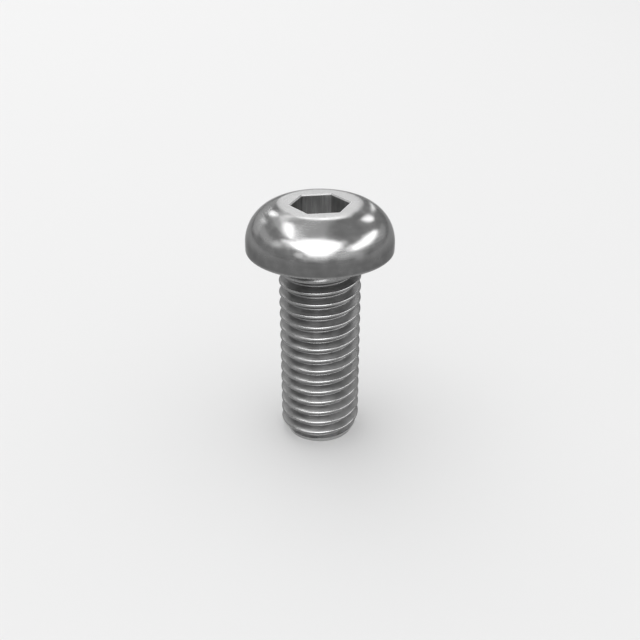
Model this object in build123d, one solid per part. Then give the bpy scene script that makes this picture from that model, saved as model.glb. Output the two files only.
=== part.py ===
"""Button head socket screw, M10 x 25, for a 6 mm hexagon key.

Millimetres. The shank's axis is Z and the head is up. The origin is the centre of the bearing face,
the flat underside of the head, so the screw's length runs down from z = 0 to its end. The shank is
the cylinder over the thread's crests, and the M10 x 1.5 thread that it carries isn't cut here.
"""

import os
from math import cos, radians

from build123d import *

# Shank
THREAD_DIAMETER = 10.0  # major diameter, over the crests
LENGTH = 25.0  # from the bearing face to the end
NECK_FILLET = 0.4  # where the shank meets the bearing face
POINT_LENGTH = 1.55  # height of the cone on the shank's end
POINT_DIAMETER = 8.35  # the flat end inside that cone

# Head
HEAD_DIAMETER = 17.5
HEAD_HEIGHT = 5.5
DOME_RADIUS = 4.6  # arc between the flat top and the upright rim
RIM_FILLET = 0.12  # lower edge of the rim

# Hexagon socket
SOCKET_ACROSS_FLATS = 6.0
SOCKET_DEPTH = 3.3  # length of the six flats
SOCKET_POINT_DEPTH = 0.7  # shallow cone that the punch leaves in the floor
SOCKET_MOUTH_CHAMFER = 0.15
SOCKET_TURN = 7.7  # angle from +X to the nearest corner, in degrees


def head():
    """Flat top, round dome, short upright rim and flat bearing face, turned about the axis."""
    rim = HEAD_DIAMETER / 2
    flat = rim - DOME_RADIUS
    dome_foot = HEAD_HEIGHT - DOME_RADIUS
    top = Line((0, HEAD_HEIGHT), (flat, HEAD_HEIGHT))
    dome = CenterArc((flat, dome_foot), DOME_RADIUS, 90, -90)
    side = Polyline((rim, dome_foot), (rim, 0), (0, 0), (0, HEAD_HEIGHT))
    section = make_face([top, dome, side])
    solid = revolve(Plane.XZ * section, Axis.Z)
    lower_edge = solid.edges().filter_by(GeomType.CIRCLE).sort_by(Axis.Z)[0]
    return fillet(lower_edge, RIM_FILLET)


def shank():
    """Shank at the thread's major diameter, with a cone at its end and a fillet under the head."""
    radius = THREAD_DIAMETER / 2
    fillet_foot = radius + NECK_FILLET
    neck = CenterArc((fillet_foot, -NECK_FILLET), NECK_FILLET, 90, 90)
    point_top = (radius, POINT_LENGTH - LENGTH)
    point_foot = (POINT_DIAMETER / 2, -LENGTH)
    side = Polyline((radius, -NECK_FILLET), point_top, point_foot, (0, -LENGTH), (0, 0))
    section = make_face([Line((0, 0), (fillet_foot, 0)), neck, side])
    return revolve(Plane.XZ * section, Axis.Z)


def hexagon(across_flats):
    """Hexagon with its nearest corner turned by the socket's angle from +X."""
    return RegularPolygon(across_flats / 2 / cos(radians(30)), 6, rotation=SOCKET_TURN)


def socket():
    """The space of the hexagon socket: six flats, a shallow cone below them, a chamfered mouth."""
    floor = HEAD_HEIGHT - SOCKET_DEPTH
    flats = extrude(Pos(0, 0, floor) * hexagon(SOCKET_ACROSS_FLATS), SOCKET_DEPTH)
    on_top = (Align.CENTER, Align.CENTER, Align.MAX)
    point = Cone(0, SOCKET_ACROSS_FLATS / 2, SOCKET_POINT_DEPTH, align=on_top)
    mouth_foot = Pos(0, 0, HEAD_HEIGHT - SOCKET_MOUTH_CHAMFER) * hexagon(SOCKET_ACROSS_FLATS)
    mouth_width = SOCKET_ACROSS_FLATS + 2 * SOCKET_MOUTH_CHAMFER
    mouth = loft([mouth_foot, Pos(0, 0, HEAD_HEIGHT) * hexagon(mouth_width)])
    return flats + Pos(0, 0, floor) * point + mouth


screw = head() - socket() + shank()

os.makedirs("parts", exist_ok=True)
export_step(screw, "parts/screw.step")
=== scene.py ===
"""Looks of the button head screw: its real thread, its steel, and a plain studio to see it in.

Metres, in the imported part's own frame: the shank's axis is Z, the head is up, and the centre of the
bearing face is at the origin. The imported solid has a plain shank, so one closed mesh with the same
head, socket, shank and point stands for it here, with the M10 x 1.5 thread rolled into the shank.
"""

from bisect import bisect_right
from math import ceil, cos, pi, radians, sin, tan

import bmesh
import bpy
from mathutils import Matrix, Vector


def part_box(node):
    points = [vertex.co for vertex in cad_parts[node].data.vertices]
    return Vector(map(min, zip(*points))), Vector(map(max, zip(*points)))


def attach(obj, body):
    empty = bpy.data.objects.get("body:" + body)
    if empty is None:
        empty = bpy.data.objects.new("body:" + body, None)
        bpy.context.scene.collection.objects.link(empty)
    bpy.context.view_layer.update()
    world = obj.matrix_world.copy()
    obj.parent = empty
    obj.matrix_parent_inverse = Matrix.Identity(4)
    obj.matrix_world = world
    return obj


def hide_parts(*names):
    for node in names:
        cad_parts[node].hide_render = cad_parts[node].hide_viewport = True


MM = 0.001

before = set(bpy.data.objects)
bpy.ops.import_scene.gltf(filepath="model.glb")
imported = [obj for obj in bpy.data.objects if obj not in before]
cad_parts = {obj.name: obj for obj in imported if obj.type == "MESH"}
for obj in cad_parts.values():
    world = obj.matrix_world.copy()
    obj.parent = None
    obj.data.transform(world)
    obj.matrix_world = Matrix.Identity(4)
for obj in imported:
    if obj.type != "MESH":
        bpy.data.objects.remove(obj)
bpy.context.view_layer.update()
screw_low, screw_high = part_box("screw")

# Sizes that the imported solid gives
HEAD_RADIUS = screw_high.x
HEAD_TOP = screw_high.z
SHANK_END = screw_low.z

# Head
DOME_RADIUS = 4.6 * MM
RIM_FILLET = 0.12 * MM
FLAT_MARGIN = 0.06 * MM  # from the flat top's last ring to the dome, so that the top shades flat
DOME_STEPS = 40
FILLET_STEPS = 6

# Hexagon socket
SOCKET_ACROSS_FLATS = 6.0 * MM
SOCKET_DEPTH = 3.3 * MM
SOCKET_TURN = radians(7.7)
SOCKET_MOUTH_CHAMFER = 0.15 * MM
SOCKET_POINT_DEPTH = 0.7 * MM
SOCKET_POINT_MARGIN = 0.02 * MM  # between the punched cone and the flats
SOCKET_POINT_TIP = 0.2 * MM  # radius of the cone's blunt tip
SOCKET_FLOOR = HEAD_TOP - SOCKET_DEPTH
SOCKET_MOUTH = SOCKET_ACROSS_FLATS / 2 + SOCKET_MOUTH_CHAMFER  # from the axis to the mouth's sides

# Shank
THREAD_RADIUS = 5.0 * MM
NECK_FILLET = 0.4 * MM
NECK_END = -NECK_FILLET
POINT_LENGTH = 1.55 * MM
POINT_RADIUS = 4.175 * MM
POINT_SLOPE = (THREAD_RADIUS - POINT_RADIUS) / POINT_LENGTH

# Thread, with depths counted from its outside radius
PITCH = 1.5 * MM
GROOVE_START = 1.1 * MM  # below the bearing face, where the groove's middle leaves the neck
FIRST_CREST = PITCH / 2 - GROOVE_START
RUN_OUT_TURNS = 0.75
FLANK_TILT = radians(60)  # of a flank's normal, from the horizontal
OUTER_EDGE = -0.10825 * PITCH  # depth where the planes of two flanks would meet outside a crest
INNER_EDGE = 0.75777 * PITCH  # depth where the planes of two flanks would meet below a root
CREST_RADIUS = 0.15 * PITCH  # rolled round, inside the usual 6g limits
ROOT_RADIUS = 0.125 * PITCH
CREST_STEPS = 4
FLANK_STEPS = 2
ROOT_STEPS = 4
SPARE_TURNS = 2  # added at each end, so that every column reaches the neck and the end

# Columns of vertices round the axis: a multiple of six, so that each socket corner has one
COLUMNS = 192

# Edges that turn by more than this are sharp
SHARP_ANGLE = radians(24)

# Where each region of the steel begins to show, and where it shows in full. Heights, where it
# doesn't say otherwise
# The rim's fade spreads painted shade over the rim and the dome's foot
RIM_SHADE_FADE = (2.7 * MM, 1.2 * MM)
THREAD_FADE = (-0.2 * MM, -1.0 * MM)
GROOVE_FADE = (0.12 * MM, 0.4 * MM)  # depth below the plain shank and its cone
POINT_FADE = (POINT_LENGTH + 0.05 * MM, POINT_LENGTH - 0.05 * MM)  # height above the end
POINT_DEPTH_FADE = (0.1 * MM, 0.02 * MM)  # the same depth
SOCKET_FADE = (0.5 * MM, 1.0 * MM)
SOCKET_SIDE_FADE = (SOCKET_MOUTH, SOCKET_MOUTH - 0.04 * MM)  # distance of the sides from the axis
WALL_FADE = (SOCKET_FLOOR, SOCKET_FLOOR + 0.3 * MM)
MOUTH_WEAR = (SOCKET_MOUTH + 0.16 * MM, SOCKET_MOUTH)  # distance of the sides from the axis
MOUTH_WEAR_HEIGHT = (HEAD_TOP - 0.3 * MM, HEAD_TOP - 0.1 * MM)
RIM_WEAR = (HEAD_RADIUS - 0.25 * MM, HEAD_RADIUS - 0.05 * MM)  # distance from the axis
RIM_WEAR_HEIGHT = (0.35 * MM, 0.1 * MM)

# Grey levels of the steel: on the dome, in each region, in what varies them, and in the tint of its
# reflections at grazing angles
HEAD_TONE = 0.25
# The rim's and the grooves' greys are painted shade, the point's and the socket's painted light; the
# thread's is the head's own grey
REGION_TONES = {"rim": 0.13, "thread": 0.25, "groove": 0.19, "point": 0.55, "socket": 0.28}
CLOUD_TONE = 0.45
PIT_TONE = 0.16
DRAWN_TONE = 0.5
RUBBED_TONE = 0.42
GRAZING_TONE = 0.6

# Noises: features to the metre, and octaves of detail
CLOUD_NOISE = (700.0, 3.0)
DENT_NOISE = (2200.0, 1.0)
PUNCHED_NOISE = (5000.0, 3.0)
TURNED_NOISE = (9000.0, 3.0)
GRAIN_NOISE = (12000.0, 3.0)

# How fast the two lined noises vary along their lines, where 1 is as fast as across them
TURNED_STRETCH = 0.03
PUNCHED_STRETCH = 0.08

# What each noise is turned into: its low and high value, and the result at each
CLOUD_SHARE = (0.35, 0.7, 0.0, 0.10)
PIT_SHARE = (0.55, 0.8, 0.0, 0.25)
DRAWN_SHARE = (0.4, 0.7, 0.0, 0.5)
RUBBED_SHARE = (0.3, 0.6, 0.1, 0.6)
CLOUD_ROUGHNESS = (0.3, 0.7, 0.16, 0.25)
TURNED_ROUGHNESS = (0.3, 0.7, -0.02, 0.04)

# What each region adds to the roughness
ROUGHER = {"thread": 0.06, "groove": 0.14, "point": 0.05, "socket": 0.2, "worn": 0.06}

# Fine relief: how much of each pattern is in it, its strength, and its height where the sum is 1
TURNED_RELIEF = 0.5
PUNCHED_RELIEF = 1.0
GRAIN_RELIEF = 0.3
DENT_RELIEF = 1.2
RELIEF_STRENGTH = 0.5
RELIEF_HEIGHT = 0.002 * MM

# Floor, just below the screw's end
FLOOR_HALF_WIDTH = 1.5
FLOOR_GAP = 0.02 * MM
FLOOR_TONE = 0.8
FLOOR_ROUGHNESS = 0.9

# Camera, fitted to the photograph: on the -Y side, looking down on the screw
CAMERA_ELEVATION = radians(28.6)
CAMERA_DISTANCE = 102.5 * MM
CAMERA_AIM = Vector((0, 0, -9.7 * MM))
CAMERA_FIELD = radians(42.03)
CAMERA_SENSOR = 36  # millimetres across
CAMERA_CLIP = (0.005, 10)

# World: its strength as light on the scene, and where the camera and the metal see it
WORLD_LIGHT = 0.95
WORLD_SEEN = 0.52

# Level lamps over the screw, facing down: name, shape, centre, size, radiance, and what sees it.
# The key light is two lamps that only the metal sees, and the metal doesn't see the floor's own
CEILING = (
    ("sky", "RECTANGLE", (-0.22, 0.35, 0.6), (0.58, 1.2), 0.58, "all"),
    ("floor_light", "RECTANGLE", (-0.27, 0.35, 0.6), (0.48, 1.2), 0.5, "floor"),
    ("key_near", "ELLIPSE", (-0.095, -0.47, 0.5), (0.92, 0.54), 4.2, "metal"),
    ("key_far", "RECTANGLE", (-0.04, -0.96, 0.49), (0.76, 0.98), 4.2, "metal"),
)

# Elliptical cards that only the metal sees, each facing the head from this far away. Name, azimuth
# from the camera's side towards +X, elevation, half width and half height as the head sees them in
# degrees, radiance, and turn in its own plane in degrees
CARD_DISTANCE = 0.6
CARDS = (
    ("key_wing", -64, 42, 9, 5, 3.2, 20),
    ("key_tail", -74, 27, 8, 6, 1.6, 0),
    ("key_skirt", -32, 19, 7, 7, 1.5, 0),
    ("key_foot", -8, 12, 22, 6, 0.8, 0),
    ("key_edge", 47, 48, 6, 7, 1.2, 0),
    ("right_glow", 38, 15, 18, 8, 0.75, 0),
    ("right_fall", 60, 5, 8, 12, 0.6, 0),
    ("right_haze", 122, 13, 14, 7, 0.4, 0),
    ("left_glow", -146, 13, 30, 9, 0.6, 0),
    ("left_strip", -105, 60, 25, 6, 4.2, 0),
    ("left_arc", -108, 23, 32, 7, 0.55, 0),
    ("left_spot", -155, 30, 5, 5, 5.5, 0),
    ("left_glint", -137, 25, 7, 3, 2.4, 30),
    ("right_strip", 85, 28.5, 28, 8.5, 4.6, 0),
    ("strip_lead", 53, 29, 11, 8, 2.2, 0),
    ("right_spot", 143, 35, 7, 7, 5.0, 0),
    ("right_streak", 160, 13, 9, 2, 4.5, -58),
    ("back_strip", 178, 37, 8, 6, 4.0, 0),
    ("strip_tail", -161, 41, 13, 2.5, 2.4, 36),
    ("back", 180, 18, 10, 14, 2.15, 0),
)


def column_angle(column):
    """Angle of a column of vertices round the axis."""
    return SOCKET_TURN + 2 * pi * column / COLUMNS


def add_vertex(mesh, radius, column, height):
    """A vertex on a column."""
    angle = column_angle(column)
    return mesh.verts.new((radius * cos(angle), radius * sin(angle), height))


def ring(mesh, radius, height):
    """A closed ring of vertices at one height."""
    return [add_vertex(mesh, radius, column, height) for column in range(COLUMNS)]


def hexagon_ring(mesh, across_flats, height):
    """A closed ring of vertices on a hexagon whose corners are at columns of their own."""
    vertices = []
    for column in range(COLUMNS):
        from_side = (column_angle(column) - SOCKET_TURN) % radians(60) - radians(30)
        vertices.append(add_vertex(mesh, across_flats / 2 / cos(from_side), column, height))
    return vertices


def bridge(mesh, upper, lower):
    """Faces between two rings. They face away from the axis where the second ring is the lower."""
    for column in range(COLUMNS):
        following = (column + 1) % COLUMNS
        mesh.faces.new((upper[column], lower[column], lower[following], upper[following]))


def bridge_all(mesh, rings):
    """Faces from each ring to the next."""
    for upper, lower in zip(rings, rings[1:]):
        bridge(mesh, upper, lower)


def crease(vertices):
    """The closed line through these vertices is a sharp edge."""
    for vertex, following in zip(vertices, vertices[1:] + vertices[:1]):
        edge = next(e for e in vertex.link_edges if following in e.verts)
        edge.smooth = False


def arc(centre, radius, start, end, steps):
    """Points (radius, height) along an arc, its angles counted from the horizontal."""
    points = []
    for step in range(steps + 1):
        angle = start + (end - start) * step / steps
        points.append((centre[0] + radius * cos(angle), centre[1] + radius * sin(angle)))
    return points


def half_crest():
    """(drop, depth) from the middle of the round crest down to where it meets the flank."""
    points = []
    for step in range(CREST_STEPS + 1):
        tilt = FLANK_TILT * step / CREST_STEPS
        points.append((CREST_RADIUS * sin(tilt), OUTER_EDGE + CREST_RADIUS * (2 - cos(tilt))))
    return points


def half_root():
    """(drop, depth) from where the flank meets the round root down to the root's middle."""
    points = []
    for step in range(ROOT_STEPS + 1):
        tilt = FLANK_TILT * (1 - step / ROOT_STEPS)
        drop = PITCH / 2 - ROOT_RADIUS * sin(tilt)
        points.append((drop, INNER_EDGE - ROOT_RADIUS * (2 - cos(tilt))))
    return points


def thread_profile():
    """(share of the pitch, depth) down one turn: half the crest, a flank, the root, a flank and the
    crest's other half. Both rounds are tangent to the flanks."""
    crest = half_crest()
    root = half_root()
    (top_drop, top_depth), (foot_drop, foot_depth) = crest[-1], root[0]
    flank = []
    for step in range(1, FLANK_STEPS):
        share = step / FLANK_STEPS
        drop = top_drop + (foot_drop - top_drop) * share
        flank.append((drop, top_depth + (foot_depth - top_depth) * share))
    half_turn = crest + flank + root
    mirrored = [(PITCH - drop, depth) for drop, depth in reversed(half_turn[1:-1])]
    return [(drop / PITCH, depth) for drop, depth in half_turn + mirrored]


def point_cone(height):
    """Radius of the cone on the shank's end, or of the plain shank above it."""
    return min(THREAD_RADIUS, POINT_RADIUS + POINT_SLOPE * (height - SHANK_END))


def shank_radius(height, turns_down, depth):
    """Radius where the full thread has this depth, this many turns below the groove's start. The
    groove comes out to the plain neck over the run-out."""
    share = min(max(turns_down / RUN_OUT_TURNS, 0.0), 1.0)
    eased = share * share * (3 - 2 * share)
    return min(THREAD_RADIUS - depth * eased, point_cone(height))


def depth_at(profile, share):
    """Depth of the thread at any share of the pitch, from 0 up to 1."""
    closed = profile + [(1.0, profile[0][1])]
    following = bisect_right([start for start, _ in closed], share)
    (share_above, depth_above), (share_below, depth_below) = closed[following - 1 : following + 1]
    part = (share - share_above) / (share_below - share_above)
    return depth_above + (depth_below - depth_above) * part


def end_ring_of_thread(mesh, profile):
    """The edge of the end face, which the thread's grooves cut into."""
    vertices = []
    for column in range(COLUMNS):
        turns_down = (FIRST_CREST - SHANK_END) / PITCH + column / COLUMNS
        radius = shank_radius(SHANK_END, turns_down, depth_at(profile, turns_down % 1.0))
        vertices.append(add_vertex(mesh, radius, column, SHANK_END))
    return vertices


def thread_rows(mesh, profile, top_ring, end_ring):
    """Rows of vertices that follow the helix, from the neck's ring down to the end ring. Rows that
    would pass those rings run along them."""
    tiny = 1e-6 * MM
    turns = ceil((FIRST_CREST - SHANK_END) / PITCH) + SPARE_TURNS
    rows = []
    for turn in range(-SPARE_TURNS, turns):
        for share, depth in profile:
            row = []
            for column in range(COLUMNS):
                turned = column / COLUMNS
                height = FIRST_CREST - PITCH * (turn + share - turned)
                if height >= NECK_END - tiny:
                    row.append(top_ring[column])
                elif height <= SHANK_END + tiny:
                    row.append(end_ring[column])
                else:
                    radius = shank_radius(height, turn - turned, depth)
                    row.append(add_vertex(mesh, radius, column, height))
            rows.append(row)
    return rows


def threaded_shank(mesh, top_ring):
    """Faces of the thread from the neck's ring down to the end, and the ring where they end. The
    last column of a row meets the first column of the row one turn higher."""
    profile = thread_profile()
    rows_per_turn = len(profile)
    end_ring = end_ring_of_thread(mesh, profile)
    rows = thread_rows(mesh, profile, top_ring, end_ring)
    for index in range(rows_per_turn, len(rows) - 1):
        upper = rows[index] + [rows[index - rows_per_turn][0]]
        lower = rows[index + 1] + [rows[index + 1 - rows_per_turn][0]]
        for column in range(COLUMNS):
            corners = (upper[column], lower[column], lower[column + 1], upper[column + 1])
            distinct = list(dict.fromkeys(corners))
            if len(distinct) > 2:
                mesh.faces.new(distinct)
    return end_ring


def socket_rings(mesh):
    """Rings from the tip of the punched cone in the socket's floor up to the socket's mouth."""
    cone_radius = SOCKET_ACROSS_FLATS / 2 - SOCKET_POINT_MARGIN
    tip_height = SOCKET_FLOOR - SOCKET_POINT_DEPTH * (1 - SOCKET_POINT_TIP / cone_radius)
    return [
        ring(mesh, SOCKET_POINT_TIP, tip_height),
        ring(mesh, cone_radius / 2, SOCKET_FLOOR - SOCKET_POINT_DEPTH / 2),
        ring(mesh, cone_radius, SOCKET_FLOOR),
        hexagon_ring(mesh, SOCKET_ACROSS_FLATS, SOCKET_FLOOR),
        hexagon_ring(mesh, SOCKET_ACROSS_FLATS, HEAD_TOP - SOCKET_MOUTH_CHAMFER),
        hexagon_ring(mesh, 2 * SOCKET_MOUTH, HEAD_TOP),
    ]


def head_rings(mesh):
    """Rings from the flat top over the dome, the rim and the bearing face to the neck."""
    flat_radius = HEAD_RADIUS - DOME_RADIUS
    flat = ring(mesh, flat_radius - FLAT_MARGIN, HEAD_TOP)
    dome_centre = (flat_radius, HEAD_TOP - DOME_RADIUS)
    profile = arc(dome_centre, DOME_RADIUS, radians(90), 0, DOME_STEPS)
    fillet_centre = (HEAD_RADIUS - RIM_FILLET, RIM_FILLET)
    profile += arc(fillet_centre, RIM_FILLET, 0, radians(-90), FILLET_STEPS)
    neck_centre = (THREAD_RADIUS + NECK_FILLET, NECK_END)
    profile += arc(neck_centre, NECK_FILLET, radians(90), radians(180), FILLET_STEPS)
    return [flat] + [ring(mesh, radius, height) for radius, height in profile]


def screw_mesh():
    """The whole screw as one closed mesh, from the socket's floor over the head to the end."""
    mesh = bmesh.new()
    socket = socket_rings(mesh)
    head = head_rings(mesh)
    mesh.faces.new(socket[0])
    bridge_all(mesh, socket + head)
    end_ring = threaded_shank(mesh, head[-1])
    mesh.faces.new(list(reversed(end_ring)))

    tip, _, *socket_edges = socket
    for line in (tip, *socket_edges, end_ring):
        crease(line)
    bmesh.ops.recalc_face_normals(mesh, faces=mesh.faces)
    return mesh


def mark_sharp(mesh, angle):
    """Edges that turn by more than the angle are sharp, and every face is smooth between them."""
    for edge in mesh.edges:
        if edge.is_manifold and edge.calc_face_angle() > angle:
            edge.smooth = False
    for face in mesh.faces:
        face.smooth = True


class Nodes:
    """Short ways to add nodes to one material."""

    def __init__(self, material):
        material.use_nodes = True
        self.tree = material.node_tree
        self.shader = self.tree.nodes["Principled BSDF"]

    def put(self, value, socket):
        """A socket gets a link from another socket, or a plain value."""
        if isinstance(value, bpy.types.NodeSocket):
            self.tree.links.new(value, socket)
        else:
            socket.default_value = value

    def add(self, kind, output, inputs, **settings):
        """Adds a node, fills its inputs, and returns one of its outputs."""
        node = self.tree.nodes.new(kind)
        for name, value in settings.items():
            setattr(node, name, value)
        for name, value in inputs.items():
            self.put(value, node.inputs[name])
        return node.outputs[output]

    def math(self, operation, first, second=0.0):
        """The result of one sum. Those of one term leave out the second."""
        return self.add("ShaderNodeMath", 0, {0: first, 1: second}, operation=operation)

    def ramp(self, value, low, high, to_low=0.0, to_high=1.0):
        """Smooth steps from one result to another as the value goes from low to high."""
        given = {"Value": value, "From Min": low, "From Max": high}
        inputs = {**given, "To Min": to_low, "To Max": to_high}
        return self.add("ShaderNodeMapRange", "Result", inputs, interpolation_type="SMOOTHSTEP")

    def noise(self, vector, scale, detail):
        """Noise from about 0 to 1, with this many features to each metre of the vector."""
        inputs = {"Vector": vector, "Scale": scale, "Detail": detail}
        return self.add("ShaderNodeTexNoise", "Fac", inputs)

    def combine(self, x, y, z):
        """A vector of three numbers."""
        return self.add("ShaderNodeCombineXYZ", 0, {"X": x, "Y": y, "Z": z})

    def mix(self, factor, first, second):
        """Colour between the first, where the factor is 0, and the second, where it is 1."""
        inputs = {"Factor": factor, "A": first, "B": second}
        return self.add("ShaderNodeMix", "Result", inputs, data_type="RGBA")


def grey(level):
    """Colour of this grey level."""
    return (level, level, level, 1)


def hexagon_distance(n, place):
    """How far from the axis a hexagon with the socket's turn has its sides, if it passes here."""
    largest = 0.0
    for side in range(3):
        angle = SOCKET_TURN + radians(30 + 60 * side)
        along_normal = {0: place, 1: (cos(angle), sin(angle), 0)}
        distance = n.add("ShaderNodeVectorMath", "Value", along_normal, operation="DOT_PRODUCT")
        largest = n.math("MAXIMUM", largest, n.math("ABSOLUTE", distance))
    return largest


def steel_regions(n, place, radius, z):
    """Masks of the screw's regions, 1 inside and 0 outside: the rim with the dome's foot, painted
    darker as shade, the thread, its grooves, painted darker as shade, the point, painted lighter
    as light, the socket, painted lighter as light, its walls, and the worn edges, which keys and
    washers rub."""
    # The rim's mask darkens the head's lower side: painted shade
    masks = {"rim": n.ramp(z, *RIM_SHADE_FADE), "thread": n.ramp(z, *THREAD_FADE)}
    above_end = n.math("SUBTRACT", z, SHANK_END)
    cone = n.math("ADD", POINT_RADIUS, n.math("MULTIPLY", above_end, POINT_SLOPE))
    depth = n.math("SUBTRACT", n.math("MINIMUM", THREAD_RADIUS, cone), radius)
    # The grooves' mask makes them rougher and darker; the darker grey is painted shade that dims the
    # roots' highlight
    masks["groove"] = n.math("MULTIPLY", masks["thread"], n.ramp(depth, *GROOVE_FADE))
    # The point's mask makes it rougher and lighter; the lighter grey is painted light against the
    # shadow that the point mirrors
    near_end = n.ramp(above_end, *POINT_FADE)
    masks["point"] = n.math("MULTIPLY", near_end, n.ramp(depth, *POINT_DEPTH_FADE))

    # The socket's mask makes it rougher and lighter; the lighter grey is painted light that lifts the
    # socket's shade
    from_axis = hexagon_distance(n, place)
    inside = n.ramp(from_axis, *SOCKET_SIDE_FADE)
    masks["socket"] = n.math("MULTIPLY", inside, n.ramp(z, *SOCKET_FADE))
    masks["walls"] = n.math("MULTIPLY", inside, n.ramp(z, *WALL_FADE))

    mouth = n.math("MULTIPLY", n.ramp(from_axis, *MOUTH_WEAR), n.ramp(z, *MOUTH_WEAR_HEIGHT))
    rim_edge = n.math("MULTIPLY", n.ramp(radius, *RIM_WEAR), n.ramp(z, *RIM_WEAR_HEIGHT))
    masks["worn"] = n.math("MAXIMUM", mouth, rim_edge)
    return masks


def steel_colour(n, masks, cloud, grain, punched):
    """Grey of each region, with painted shade on the rim and in the grooves and painted light on
    the point and in the socket, clouded and pitted, with drawn lines on the socket's walls and
    rubbed edges."""
    colour = grey(HEAD_TONE)
    for region, tone in REGION_TONES.items():
        colour = n.mix(masks[region], colour, grey(tone))
    colour = n.mix(n.ramp(cloud, *CLOUD_SHARE), colour, grey(CLOUD_TONE))
    colour = n.mix(n.ramp(grain, *PIT_SHARE), colour, grey(PIT_TONE))
    drawn = n.math("MULTIPLY", masks["walls"], n.ramp(punched, *DRAWN_SHARE))
    colour = n.mix(drawn, colour, grey(DRAWN_TONE))
    rubbed = n.math("MULTIPLY", masks["worn"], n.ramp(grain, *RUBBED_SHARE))
    return n.mix(rubbed, colour, grey(RUBBED_TONE))


def steel_roughness(n, masks, cloud, turned):
    """Roughness of the tumbled head, clouded and lined, and more of it in the other regions."""
    rough = n.ramp(cloud, *CLOUD_ROUGHNESS)
    rough = n.math("ADD", rough, n.ramp(turned, *TURNED_ROUGHNESS))
    for region, more in ROUGHER.items():
        rough = n.math("ADD", rough, n.math("MULTIPLY", masks[region], more))
    return rough


def steel_normal(n, masks, turned, punched, grain, dents):
    """Normal of the fine relief: turned lines outside the socket, punched lines on its walls, and
    grain and shallow dents all over."""
    outside_socket = n.ramp(masks["socket"], 0.0, 1.0, TURNED_RELIEF, 0.0)
    relief = n.math("MULTIPLY", outside_socket, turned)
    on_walls = n.math("MULTIPLY", masks["walls"], punched)
    shares = ((on_walls, PUNCHED_RELIEF), (grain, GRAIN_RELIEF), (dents, DENT_RELIEF))
    for pattern, share in shares:
        relief = n.math("ADD", relief, n.math("MULTIPLY", pattern, share))
    inputs = {"Height": relief, "Strength": RELIEF_STRENGTH, "Distance": RELIEF_HEIGHT}
    return n.add("ShaderNodeBump", "Normal", inputs)


def steel():
    """Bright steel: a tumbled head with painted shade on its rim, a rolled thread with dull grooves
    that also get painted shade, a turned point with painted light, and a socket with painted light
    and the lines of the punch."""
    material = bpy.data.materials.new("steel")
    n = Nodes(material)
    place = n.add("ShaderNodeTexCoord", "Object", {})
    split = n.tree.nodes.new("ShaderNodeSeparateXYZ")
    n.put(place, split.inputs[0])
    x, y, z = split.outputs
    radius = n.math("SQRT", n.math("ADD", n.math("MULTIPLY", x, x), n.math("MULTIPLY", y, y)))
    masks = steel_regions(n, place, radius, z)

    # Lines run round the axis on the head and thread, and along it on the socket's walls
    round_axis = n.combine(radius, z, n.math("MULTIPLY", x, TURNED_STRETCH))
    turned = n.noise(round_axis, *TURNED_NOISE)
    along_axis = n.combine(x, y, n.math("MULTIPLY", z, PUNCHED_STRETCH))
    punched = n.noise(along_axis, *PUNCHED_NOISE)
    cloud = n.noise(place, *CLOUD_NOISE)
    grain = n.noise(place, *GRAIN_NOISE)
    dents = n.noise(place, *DENT_NOISE)

    inputs = n.shader.inputs
    n.put(steel_colour(n, masks, cloud, grain, punched), inputs["Base Color"])
    n.put(steel_roughness(n, masks, cloud, turned), inputs["Roughness"])
    n.put(steel_normal(n, masks, turned, punched, grain, dents), inputs["Normal"])
    inputs["Metallic"].default_value = 1.0
    inputs["Specular Tint"].default_value = grey(GRAZING_TONE)
    return material


def build_screw():
    """The screw with its thread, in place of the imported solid."""
    mesh = screw_mesh()
    mark_sharp(mesh, SHARP_ANGLE)
    data = bpy.data.meshes.new("threaded_screw")
    mesh.to_mesh(data)
    mesh.free()
    screw = bpy.data.objects.new("threaded_screw", data)
    bpy.context.scene.collection.objects.link(screw)
    data.materials.append(steel())
    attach(screw, "root")
    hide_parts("screw")


def build_floor():
    """A plain pale floor with no gloss."""
    half = FLOOR_HALF_WIDTH
    z = SHANK_END - FLOOR_GAP
    corners = [(-half, -half, z), (half, -half, z), (half, half, z), (-half, half, z)]
    data = bpy.data.meshes.new("floor")
    data.from_pydata(corners, [], [(0, 1, 2, 3)])
    floor_object = bpy.data.objects.new("floor", data)
    bpy.context.scene.collection.objects.link(floor_object)
    material = bpy.data.materials.new("floor")
    material.use_nodes = True
    inputs = material.node_tree.nodes["Principled BSDF"].inputs
    inputs["Base Color"].default_value = grey(FLOOR_TONE)
    inputs["Roughness"].default_value = FLOOR_ROUGHNESS
    inputs["Specular IOR Level"].default_value = 0.0
    data.materials.append(material)


def build_camera():
    """The photograph's camera."""
    data = bpy.data.cameras.new("camera")
    data.sensor_width = CAMERA_SENSOR
    data.angle = CAMERA_FIELD
    data.clip_start, data.clip_end = CAMERA_CLIP
    camera = bpy.data.objects.new("camera", data)
    back = Vector((0, -cos(CAMERA_ELEVATION), sin(CAMERA_ELEVATION)))
    camera.location = CAMERA_AIM + back * CAMERA_DISTANCE
    camera.rotation_euler = back.to_track_quat("Z", "Y").to_euler()
    bpy.context.scene.collection.objects.link(camera)
    bpy.context.scene.camera = camera


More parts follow.
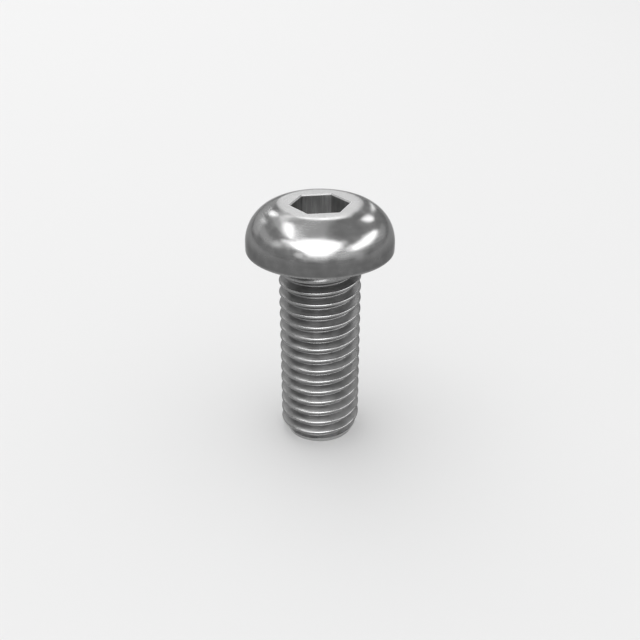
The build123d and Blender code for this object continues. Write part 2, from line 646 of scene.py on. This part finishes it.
def lamp(name, shape, size, radiance, place, seen_by):
    """A soft lamp whose radiance is what a mirror would show, where 1 is white. It is seen by the
    metal, by the floor or by all, and never by the camera."""
    data = bpy.data.lights.new(name, "AREA")
    data.shape = shape
    data.size, data.size_y = size
    area = size[0] * size[1] * (pi / 4 if shape == "ELLIPSE" else 1)
    data.energy = radiance * pi * area
    lamp_object = bpy.data.objects.new(name, data)
    lamp_object.matrix_world = place
    lamp_object.visible_camera = False
    lamp_object.visible_diffuse = seen_by != "metal"
    lamp_object.visible_glossy = seen_by != "floor"
    bpy.context.scene.collection.objects.link(lamp_object)


def card(name, azimuth, elevation, half_width, half_height, radiance, turn):
    """One of the cards, from its row in their table."""
    a, e = radians(azimuth), radians(elevation)
    away = Vector((sin(a) * cos(e), -cos(a) * cos(e), sin(e)))
    facing = away.to_track_quat("Z", "Y").to_matrix().to_4x4()
    turned = facing @ Matrix.Rotation(radians(turn), 4, "Z")
    size = [2 * CARD_DISTANCE * tan(radians(half)) for half in (half_width, half_height)]
    place = Matrix.Translation(away * CARD_DISTANCE) @ turned
    lamp(name, "ELLIPSE", size, radiance, place, "metal")


def build_lamps():
    """The lamps over the screw and the cards round it."""
    for name, shape, centre, size, radiance, seen_by in CEILING:
        lamp(name, shape, size, radiance, Matrix.Translation(centre), seen_by)
    for row in CARDS:
        card(*row)


def build_world():
    """A white world, of one strength as light and another where camera, metal or glass sees it."""
    world = bpy.data.worlds.new("world")
    bpy.context.scene.world = world
    world.use_nodes = True
    nodes, links = world.node_tree.nodes, world.node_tree.links
    background = nodes["Background"]
    background.inputs["Color"].default_value = grey(1)
    path = nodes.new("ShaderNodeLightPath")
    seen = path.outputs["Is Camera Ray"]
    for ray in ("Is Glossy Ray", "Is Transmission Ray"):
        either = nodes.new("ShaderNodeMath")
        either.operation = "MAXIMUM"
        links.new(seen, either.inputs[0])
        links.new(path.outputs[ray], either.inputs[1])
        seen = either.outputs[0]
    strength = nodes.new("ShaderNodeMapRange")
    strength.inputs["To Min"].default_value = WORLD_LIGHT
    strength.inputs["To Max"].default_value = WORLD_SEEN
    links.new(seen, strength.inputs["Value"])
    links.new(strength.outputs["Result"], background.inputs["Strength"])


build_screw()
build_floor()
build_camera()
build_lamps()
build_world()
bpy.context.scene.view_settings.view_transform = "Standard"
